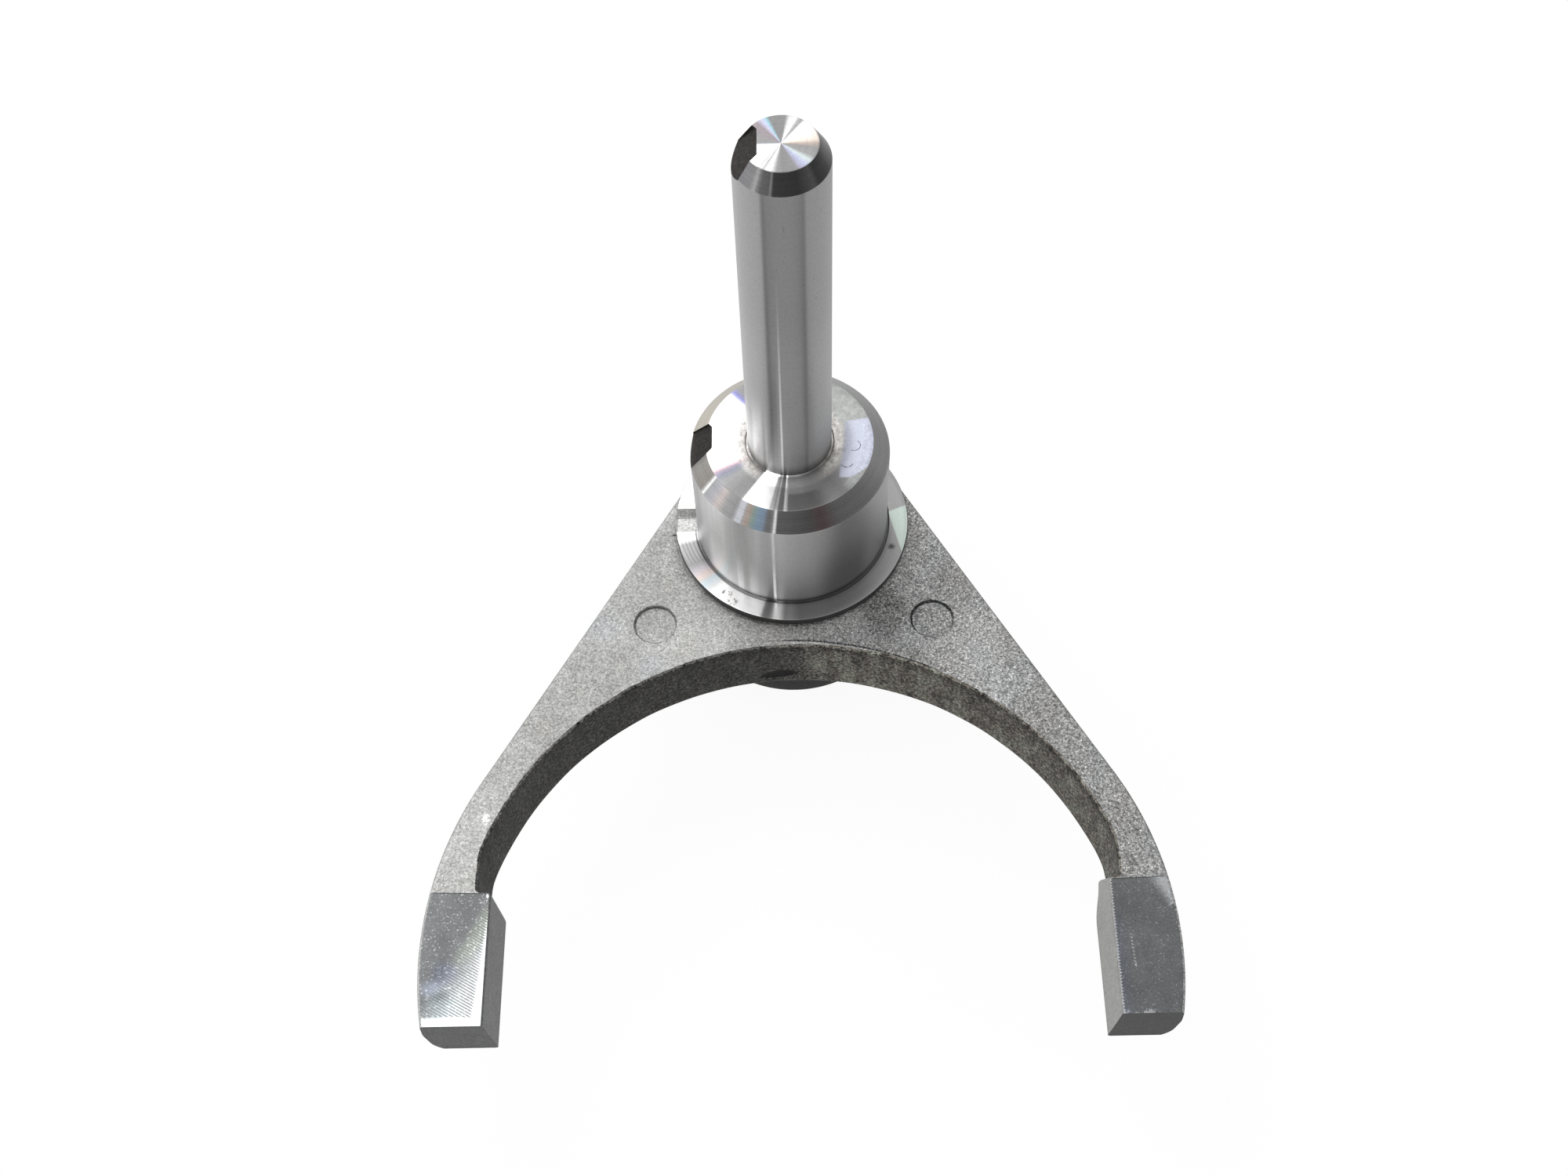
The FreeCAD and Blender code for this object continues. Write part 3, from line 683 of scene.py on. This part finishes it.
def forkContours(segment, share, fall, side):
    # Inner and outer wall of one arm from above, at a depth below the web's top, with the walls' directions.
    # Segments: 0 pad face, 1 heel corner, 2 heel wall, 3 fillet, 4 the gap's wall up to the middle plane,
    # which follows an arc but stays within an upright plane behind the pad.
    f = fork
    centre = f["gapCentre"]

    # Walls lean out down to the parting plane and in below it, by the tangents of their drafts.
    below = np.maximum(fall - f["partingDrop"], 0)
    growth = (fall - below) * slope(f["wallDraft"]) - below * slope(f["bellyDraft"])
    radius = f["gapRadius"] - fall * slope(f["wallDraft"])
    outer = f["armRadius"] + growth
    nose = f["noseRadius"] + growth
    relief = side["relief"] * fall / f["padBottom"]
    padX = side["padFace"] - fall * slope(f["padDraft"]) + relief
    toeY = centre - f["padFall"] - (fall - below) * slope(f["wallDraft"])
    heelY = centre + side["rise"] + fall * slope(side["draft"])
    heelY = heelY - roundOff(f["padBottom"] - fall, side["edge"])
    wallX = side["wall"] - fall * f["wallLean"]
    filletX = wallX - f["padCorner"]
    filletY = heelY + f["padCorner"]
    wallTurn = np.arctan2(filletY - centre, wallX)

    corner = f["heelCorner"]
    cornerTurn = np.pi - share * np.pi / 2
    filletSweep = (share - 1) * np.pi / 2
    arcTurn = wallTurn + share * (np.pi / 2 - wallTurn)

    # The gap's wall: the smaller of the arc's radius and the upright plane's distance, softly blended
    # as (a + b - sqrt((a - b)^2 + blend^2)) / 2.
    arcReach = radius - fall * slope(f["endDraft"]) * (1 - softStep(arcTurn, *f["endSweep"]))
    excess = arcReach - wallX / np.maximum(np.cos(arcTurn), 0.01)
    curve = np.sqrt(excess ** 2 + f["wallBlend"] ** 2)
    reachIn = arcReach - (excess + curve) / 2
    padY = toeY + share * (heelY - corner - toeY)
    zero = np.zeros_like(padY + share)
    cases = [segment == number for number in range(5)]
    padFaceX = padX - relief * (1 - softStep(padY, heelY - f["reliefLength"], heelY))
    innerX = np.select(cases, [padFaceX + zero, padX + corner * (1 + np.cos(cornerTurn)) + zero,
                               padX + corner + share * (filletX - padX - corner),
                               filletX + f["padCorner"] * np.cos(filletSweep), reachIn * np.cos(arcTurn)])
    innerY = np.select(cases, [padY + zero, heelY - corner * (1 - np.sin(cornerTurn)) + zero, heelY + zero,
                               filletY + f["padCorner"] * np.sin(filletSweep),
                               centre + reachIn * np.sin(arcTurn)])
    innerAim = np.select(cases, [zero, cornerTurn - np.pi + zero, zero - np.pi / 2, filletSweep + zero,
                                 arcTurn * (1 - excess / curve) / 2])

    # Where each inner point's partner lies on the outer wall, as an angle about the collar's axis.
    early = f["heelShare"]
    heelTurn = np.arcsin((heelY - centre) / outer)
    cornerY = heelY - corner + share * corner
    outerTurn = np.select(cases, [np.arcsin((padY - centre) / outer) + zero,
                                  np.arcsin((cornerY - centre) / outer) + zero,
                                  heelTurn + share * early * (wallTurn - heelTurn),
                                  heelTurn + (early + share * (1 - early)) * (wallTurn - heelTurn),
                                  arcTurn + zero])

    # The outer wall: an arc, then the straight line that touches both arc and nose, then the nose.
    edgeTurn = np.arcsin((outer - nose) / -centre)
    noseTurn = np.arctan2(nose * np.sin(edgeTurn) - centre, nose * np.cos(edgeTurn))
    onArm = outerTurn < edgeTurn
    onEdge = outerTurn < noseTurn
    reach = np.where(onArm, outer, outer / np.cos(outerTurn - edgeTurn))
    noseReach = -centre * np.sin(outerTurn) + np.sqrt(
        np.maximum(nose ** 2 - (centre * np.cos(outerTurn)) ** 2, 0))
    reach = np.where(onEdge, reach, noseReach)
    outerX = reach * np.cos(outerTurn)
    outerY = centre + reach * np.sin(outerTurn)
    noseAim = np.arctan2(outerY, outerX)
    outerAim = np.where(onArm, outerTurn * softStep(outerTurn, *f["armSweep"]),
                        np.where(onEdge, edgeTurn, noseAim))
    return (innerX, innerY, innerAim), (outerX, outerY, outerAim)


def makeFork(finishes):
    # The section, a slab with rounded edges, is carried from one toe round the nose to the other.
    f = fork
    counts = f["rows"]
    segment = np.concatenate([np.full(count, number) for number, count in enumerate(counts)])
    share = np.concatenate([np.linspace(0, 1, count, endpoint=number == 4)
                            for number, count in enumerate(counts)])

    # Rows are doubled at the heel and at the end of the run-out, where the finish or the depth changes.
    heelAt = counts[0] + counts[1]
    runoutAt = heelAt + counts[2] + counts[3] + 3
    order = np.concatenate([np.arange(heelAt + 1), np.arange(heelAt, runoutAt + 1),
                            np.arange(runoutAt, len(segment))])
    segment, share = segment[order], share[order]
    milledRows = heelAt + 1
    lowRows = runoutAt + 2
    rowNumber = np.arange(len(order))
    top = np.where(rowNumber < milledRows, f["padSkim"], 0.0)
    bottom = np.interp(rowNumber, [milledRows, lowRows], [f["padBottom"], f["thickness"]])

    across = np.linspace(0, 1, 34)[1:-1]
    crown = f["crownEdge"] / f["thickness"]
    belly = 1 - f["bellyEdge"] / f["thickness"]
    wall = np.concatenate([crown * (1 - np.cos(np.linspace(0, np.pi / 2, 7))),
                           np.linspace(crown, belly, 8)[1:-1],
                           belly + (1 - belly) * np.sin(np.linspace(0, np.pi / 2, 9))])
    innerWall = np.concatenate([[0, 0.004, 0.012, 0.023], np.linspace(0.05, 0.93, 17),
                                [0.955, 0.98, 0.994, 1]])

    def wallPoints(downShare, isOuter, side):
        high, low = top[:, None], bottom[:, None]
        fall = high + (low - high) * downShare[None, :]
        inner, outer = forkContours(segment[:, None], share[:, None], fall, side)
        if isOuter:
            inset = -roundOff(fall, f["crownEdge"]) - roundOff(f["thickness"] - fall, f["bellyEdge"])
            x, y, aim = outer
        else:
            inset = roundOff(fall - high, f["gapEdge"]) + roundOff(low - fall, f["gapFoot"])
            x, y, aim = inner
        return np.stack([x + inset * np.cos(aim), y + inset * np.sin(aim), f["webTop"] - fall], -1)

    def armPoints(side):
        outerSide = wallPoints(wall, True, side)
        innerSide = wallPoints(innerWall, False, side)[:, ::-1]
        spread = across[None, :, None]
        topFace = innerSide[:, -1:] * (1 - spread) + outerSide[:, :1] * spread
        bottomFace = outerSide[:, -1:] * (1 - spread) + innerSide[:, :1] * spread
        return np.concatenate([topFace, outerSide, bottomFace, innerSide], 1)

    rightArm, leftArm = (armPoints(side) for side in f["sides"])
    points = np.concatenate([rightArm, leftArm[:-1][::-1] * np.array([-1.0, 1.0, 1.0])], 0)
    rows, columns = points.shape[:2]

    # Finishes: 0 cast skin, 1 the gap's wall, 2 milled face, 3 and 4 the sides of the +X and the -X pad.
    kinds = np.zeros((len(order) - 1, columns), int)
    topEnd = len(across)
    outerEnd = topEnd + len(wall)
    bottomEnd = outerEnd + len(across)
    onInner = np.arange(columns) >= bottomEnd
    padRow = np.arange(len(order) - 1) < milledRows - 1
    kinds[:, onInner] = 1
    kinds[:, -1] = 0
    flat = (np.arange(columns) < topEnd) | ((np.arange(columns) >= outerEnd - 1) & ~onInner)
    flat[-1] = True
    kinds[np.ix_(padRow, flat)] = 2
    kinds[np.ix_(padRow, onInner & ~flat)] = 3
    faceKinds = np.concatenate([kinds, kinds[::-1] + np.where(kinds[::-1] == 3, 1, 0)], 0)

    # The cast skin's unevenness, none of it on the pads: up and down on top, in and out on the gap's wall.
    rough = 1 - softStep(-points[..., 1], *f["roughEnd"])
    shake = sum(ripple(points, size, seed) * height for size, seed, height in f["ripples"])
    level = (np.arange(columns) < topEnd)[None, :]
    points[..., 2] += rough * shake * level
    edge = np.exp(-np.abs(points[..., 2] - f["webTop"]) / f["lipDepth"])
    inward = np.stack([points[..., 0], points[..., 1] - f["gapCentre"]], -1)
    inward /= np.linalg.norm(inward, axis=-1, keepdims=True)
    (size, seed, height), (lipSize, lipSeed, lipHeight) = f["gapRipple"], f["lipRipple"]
    nick = ripple(points, size, seed) * height + edge * ripple(points, lipSize, lipSeed) * lipHeight
    points[..., :2] += inward * (nick * rough * onInner[None, :])[..., None]

    faces = gridFaces(rows, columns, True)[:, ::-1].tolist()
    faces.append(list(range(columns)))
    faces.append([(rows - 1) * columns + number for number in reversed(range(columns))])
    faceKinds = np.concatenate([faceKinds.ravel(), [3, 4]]).astype(np.int32)
    piece = newPiece("castFork", points.reshape(-1, 3), faces, finishes, faceKinds)

    combine(piece, makeBoss(finishes[0]), "UNION")
    for place in f["ejectorPlaces"]:
        combine(piece, makePin(place, finishes[0]), "DIFFERENCE")
    shadeSmooth(piece, 35)
    return piece


def turned(name, profile, around, finishes, kinds=None):
    # A profile of radius and height turned about the axis, closed at its poles.
    turn = np.linspace(0, 2 * np.pi, around, endpoint=False)
    radius = profile[:, 0, None]
    height = np.repeat(profile[:, 1, None], around, 1)
    rings = np.stack([radius * np.cos(turn), radius * np.sin(turn), height], -1)
    points = np.concatenate([[[0, 0, profile[0, 1]]], rings[1:-1].reshape(-1, 3), [[0, 0, profile[-1, 1]]]])
    count = len(profile) - 2
    faces = (gridFaces(count, around, True)[:, ::-1] + 1).tolist()
    now = np.arange(around)
    after = (now + 1) % around
    last = 1 + (count - 1) * around
    faces += np.stack([np.zeros(around, int), now + 1, after + 1], -1).tolist()
    faces += np.stack([np.full(around, len(points) - 1), last + after, last + now], -1).tolist()
    if kinds is not None:
        kinds = np.repeat(np.concatenate([kinds[1:-1], kinds[[0, -1]]]), around).astype(np.int32)
    return newPiece(name, points, faces, finishes, kinds)


def makeBoss(finish):
    # The round boss, from inside the web down to its foot with a rounded lower edge.
    f = fork
    bend = np.linspace(0, np.pi / 2, 8)
    edge = f["bossEdge"]
    foot = f["bossBottom"]
    lower = np.stack([f["bossFoot"] - edge + edge * np.cos(bend), foot + edge - edge * np.sin(bend)], -1)
    wall = np.stack([np.linspace(f["bossTop"], f["bossFoot"], 12),
                     np.linspace(f["bossHead"], foot + edge, 12)], -1)[:-1]
    profile = np.concatenate([[[0, wall[0, 1]], [f["bossTop"] / 2, wall[0, 1]]], wall, lower,
                              [[f["bossFoot"] / 2, foot], [0, foot]]])
    return turned("bossTool", profile, 160, [finish])


def makePin(place, finish):
    # The pin that cuts one ejector mark.
    f = fork
    floor = f["webTop"] - f["ejectorDepth"]
    profile = np.array([[0, 2.0], [f["ejectorRadius"], 2.0], [f["ejectorRadius"], floor], [0, floor]])
    pin = turned("pinTool", profile, 64, [finish])
    pin.data.transform(Matrix.Translation(Vector((*place, 0)) * mm))
    return pin


# The turned spindle

spindle = {
    "tip": 85.6, "shaftRadius": 6.35, "tipWidth": 1.6, "tipLength": 2.75, "hubTop": 22.1, "hubRadius": 15.2,
    "hubChamfer": 2.5, "flangeRadius": 18.6, "root": -2.4, "reliefWidth": 0.35, "reliefDepth": 0.3,
    "reliefUndercut": 0.15, "edge": 0.14, "step": 0.8,
    "tipNotch": {"inset": 3.35, "depth": 0.9, "drop": 2.9, "tail": 1.2, "front": -2.75, "back": 3.1},
    "hubNotch": {"inset": 3.5, "depth": 0.7, "drop": 2.6, "tail": 1.3, "front": -2.0, "back": 3.45},
    "frontCorner": (0.8, 1.0), "backCorner": (0.5, 0.6), "frontSplay": 20.0, "backSplay": 6.0,
    "gapFront": -1.85, "gapBack": 2.6, "gapFloor": 1.35, "gapMargin": 2.0, "around": 288,
}


def roundedProfile(corners, radius, step):
    # A run of straight lines with small arcs at the corners and points about a step apart.
    points = [np.array(corners[0], float)]
    for before, corner, after in zip(corners, corners[1:], corners[2:]):
        before, corner, after = (np.array(place, float) for place in (before, corner, after))
        back = (before - corner) / np.linalg.norm(before - corner)
        ahead = (after - corner) / np.linalg.norm(after - corner)
        limit = min(np.linalg.norm(before - corner), np.linalg.norm(after - corner)) * 0.35
        cut = min(radius, limit)
        for share in np.linspace(0, 1, 5):
            points.append(corner + back * cut * (1 - share) ** 2 + ahead * cut * share ** 2)
    points.append(np.array(corners[-1], float))
    filled = [points[0]]
    for start, end in zip(points, points[1:]):
        pieces = max(1, int(np.ceil(np.linalg.norm(end - start) / step)))
        filled += [start + (end - start) * number / pieces for number in range(1, pieces + 1)]
    return np.array(filled)


def prism(name, outline, travel, finish):
    # A closed outline carried straight along one direction.
    outline = np.array(outline, float)
    count = len(outline)
    faces = gridFaces(2, count, True).tolist() + [list(range(count)), list(range(count, 2 * count))]
    return outwards(newPiece(name, np.concatenate([outline, outline + np.array(travel)]), faces, [finish]))


def notchTool(notch, radius, top, finish):
    # Over a turned end: a slanted floor, then a steep tail, between side walls with cut corners that splay.
    s = spindle
    margin = 2.0
    inner, lip, outer = radius - notch["inset"], radius - notch["depth"], radius + margin
    foot = top - notch["drop"] - (outer - lip) * notch["tail"] / notch["depth"]
    floor = [(inner - margin * (lip - inner) / notch["drop"], top + margin), (lip, top - notch["drop"]),
             (outer, foot), (outer, top + margin)]
    outline = [(-reach, -outer, height) for reach, height in floor]
    block = prism("notchTool", outline, (0, 2 * outer, 0), finish)
    (frontIn, frontOut), (backIn, backOut) = s["frontCorner"], s["backCorner"]
    front, back = notch["front"], notch["back"]
    run = outer - inner
    plan = [(-inner, front + frontOut), (-inner - frontIn, front),
            (-outer, front - (run - frontIn) * slope(s["frontSplay"])),
            (-outer, back + (run - backIn) * slope(s["backSplay"])),
            (-inner - backIn, back), (-inner, back - backOut)]
    low, high = foot - margin, top + 2 * margin
    sides = prism("notchSides", [(x, y, low) for x, y in plan], (0, 0, high - low), finish)
    combine(block, sides, "INTERSECT")
    return block


def outwards(piece):
    shape = bmesh.new()
    shape.from_mesh(piece.data)
    bmesh.ops.remove_doubles(shape, verts=shape.verts, dist=1e-7)
    bmesh.ops.recalc_face_normals(shape, faces=shape.faces)
    shape.to_mesh(piece.data)
    shape.free()
    return piece


def flangeTool(finish):
    # The break in the flange's ring, down to the cast web, with a ramp at its back.
    s = spindle
    near, far = -s["hubRadius"] - 0.02, -s["flangeRadius"] - s["gapMargin"]
    top, low, front, back = s["gapMargin"], -s["gapFloor"], s["gapFront"], s["gapBack"]
    outline = [(far, front, low), (far, front, top), (far, back + top, top), (far, back + low, low)]
    return prism("flangeTool", outline, (near - far, 0, 0), finish)


def spindleKinds(profile):
    # Which finish each strip of the profile takes, from its middle's radius and height.
    s = spindle
    radius, height = ((profile[1:] + profile[:-1]) / 2).T
    groove = s["reliefDepth"] + s["edge"]
    inHubTop = (radius < s["hubRadius"] - s["hubChamfer"]) & (height > s["hubTop"] - groove)
    inFlangeFace = (radius < s["flangeRadius"] - 0.1) & (height > -groove)
    return np.select([height > s["tip"] - s["edge"] / 2, height > s["tip"] - s["tipLength"],
                      height > s["hubTop"], inHubTop, height > s["hubTop"] - s["hubChamfer"],
                      height > 0, inFlangeFace], range(7), 7)


def makeSpindle(finishes, notchFinish, castFinish):
    s = spindle
    tip, hubTop, shaft, hub = s["tip"], s["hubTop"], s["shaftRadius"], s["hubRadius"]
    under, wide, deep = s["reliefUndercut"], s["reliefWidth"], s["reliefDepth"]
    corners = [(0, tip), (shaft - s["tipWidth"], tip), (shaft, tip - s["tipLength"]), (shaft, hubTop),
               (shaft - under, hubTop - deep), (shaft + wide, hubTop - deep), (shaft + wide, hubTop),
               (hub - s["hubChamfer"], hubTop), (hub, hubTop - s["hubChamfer"]),
               (hub, 0), (hub - under, -deep), (hub + wide, -deep), (hub + wide, 0),
               (s["flangeRadius"], 0), (s["flangeRadius"], s["root"]), (0, s["root"])]
    profile = roundedProfile(corners, s["edge"], s["step"])
    piece = turned("turnedSpindle", profile, s["around"], finishes, spindleKinds(profile))
    combine(piece, notchTool(s["tipNotch"], shaft, tip, notchFinish), "DIFFERENCE")
    combine(piece, notchTool(s["hubNotch"], hub, hubTop, notchFinish), "DIFFERENCE")
    combine(piece, flangeTool(castFinish), "DIFFERENCE")
    shadeSmooth(piece, 25)
    return piece


# Stage

stage = {
    "lensPixels": 2500.0, "imageWidth": 2000.0, "sensorWidth": 36.0,
    "cameraPlace": (1.4394, -170.3137, 264.6901), "pitch": 59.2208, "yaw": -1.0424, "roll": 2.1281,
    "floorRadius": 3000.0, "floorTone": 0.9, "floorGlow": 1.03, "floorShare": 0.9,
    "dome": 0.72, "shine": (0.75, 0.35), "brightSide": (-0.55, 0.75, 0.37),
    "lampPlace": (-380, 520, 650), "lampSize": 600, "lampPower": 2.6, "lampAim": (0, -20, 20),
}


def makeCamera():
    # The camera stands where the photograph was taken from: pitch down, yaw about Z, then roll.
    c = stage
    pitch, yaw, roll = (math.radians(c[name]) for name in ("pitch", "yaw", "roll"))
    ahead = Vector((math.sin(yaw) * math.cos(pitch), math.cos(yaw) * math.cos(pitch), -math.sin(pitch)))
    level = Vector((math.cos(yaw), -math.sin(yaw), 0))
    down = ahead.cross(level)
    right = math.cos(roll) * level + math.sin(roll) * down
    under = -math.sin(roll) * level + math.cos(roll) * down
    data = bpy.data.cameras.new("camera")
    data.sensor_width = c["sensorWidth"]
    data.lens = c["lensPixels"] / c["imageWidth"] * data.sensor_width
    data.clip_start, data.clip_end = 0.01, 20.0
    camera = bpy.data.objects.new("camera", data)
    turn = Matrix((right, -under, -ahead)).transposed().to_4x4()
    camera.matrix_world = Matrix.Translation(Vector(c["cameraPlace"]) * mm) @ turn
    scene.collection.objects.link(camera)
    scene.camera = camera


def makeFloor():
    # A pale floor that shows white and keeps the soft shadow.
    turn = np.linspace(0, 2 * np.pi, 96, endpoint=False)
    size = stage["floorRadius"]
    points = np.stack([size * np.cos(turn), size * np.sin(turn), np.full_like(turn, cadLow.z / mm)], -1)
    material = bpy.data.materials.new("floorPaper")
    material.use_nodes = True
    kit = ShaderKit(material.node_tree)
    paper = kit.add("BsdfDiffuse", None, {"Color": grey(stage["floorTone"])})
    seen, gloss, through = kit.add("LightPath", None, None,
                                   take=("Is Camera Ray", "Is Glossy Ray", "Is Transmission Ray"))
    white = kit.add("Emission", None, {"Color": grey(1.0), "Strength": stage["floorGlow"]})
    share = kit.maths("MINIMUM", seen + gloss + through, 1.0) * stage["floorShare"]
    kit.add("OutputMaterial", None, {"Surface": kit.add("MixShader", None, {0: share, 1: paper, 2: white})})
    floor = newPiece("floor", points, [list(range(len(turn)))], [material])


def makeWorld():
    # A soft dome, for metal a little brighter behind and to the left, and white to the camera.
    world = bpy.data.worlds.new("studio")
    scene.world = world
    world.use_nodes = True
    kit = ShaderKit(world.node_tree)
    heading = kit.add("TexCoord", None, None, take="Generated")
    seen, gloss = kit.add("LightPath", None, None, take=("Is Camera Ray", "Is Glossy Ray"))
    towards = kit.add("VectorMath", {"operation": "DOT_PRODUCT"}, {0: heading, 1: stage["brightSide"]},
                      take="Value")
    shine, = kit.gained(kit.step(towards, -0.6, 0.8), stage["shine"])
    dome = gloss * (shine - stage["dome"]) + stage["dome"]
    level = dome + seen * (1 - dome)
    back = kit.add("Background", None, {"Color": kit.vector(level, level, level), "Strength": 1.0})
    kit.add("OutputWorld", None, {"Surface": back})


def makeLamp():
    # One large soft lamp behind and to the left, like a window.
    data = bpy.data.lights.new("windowLamp", "AREA")
    data.shape = "RECTANGLE"
    data.size = data.size_y = stage["lampSize"] * mm
    data.energy = stage["lampPower"]
    lamp = bpy.data.objects.new("windowLamp", data)
    lamp.location = Vector(stage["lampPlace"]) * mm
    aim = Vector(stage["lampAim"]) * mm - lamp.location
    lamp.rotation_euler = aim.to_track_quat("-Z", "Y").to_euler()
    scene.collection.objects.link(lamp)


makeCamera()
makeFloor()
makeWorld()
makeLamp()
print("stage made")

castFinish = castSkin()
castFork = makeFork([castFinish, arcSkin(), milledFace(),
                     # The +X pad's side towards the collar is painted lighter than the -X pad's, as if lit
                     # from -X.
                     milledSide("rightSide", (0.59, 0.16), (1.0, 1.0, 0.98)),
                     milledSide("leftSide", (0.385, 0.3), (0.985, 0.99, 1.02))])
print("fork made", len(castFork.data.polygons))
turnedFinishes = [turnedFinish("tipFace", fans["tipFace"], 0.25, 3.0),
                  turnedFinish("tipChamfer", fans["tipChamfer"], 0.4, 3.0),
                  turnedFinish("shaft", fans["shaft"], 0.1, 2.0, shaftMarks, gloss=0.45),
                  turnedFinish("hubTop", fans["hubTop"], 0.15, 3.0, hubTopMarks),
                  turnedFinish("hubChamfer", fans["hubChamfer"], 0.6, 3.5),
                  turnedFinish("hubSide", fans["hubSide"], 0.1, 2.0, hubSideMarks, gloss=0.42),
                  turnedFinish("flangeFace", fans["flangeFace"], 0.5, 3.0, flangeMarks),
                  turnedFinish("flangeRim", fans["flangeRim"], 0.3, 2.0, metallic=0.2)]
turnedSpindle = makeSpindle(turnedFinishes, notchSkin(), castFinish)
print("spindle made", len(turnedSpindle.data.polygons))

for piece in (castFork, turnedSpindle):
    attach(piece, "root")
    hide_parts("shift_fork")

scene.view_settings.view_transform = "Standard"
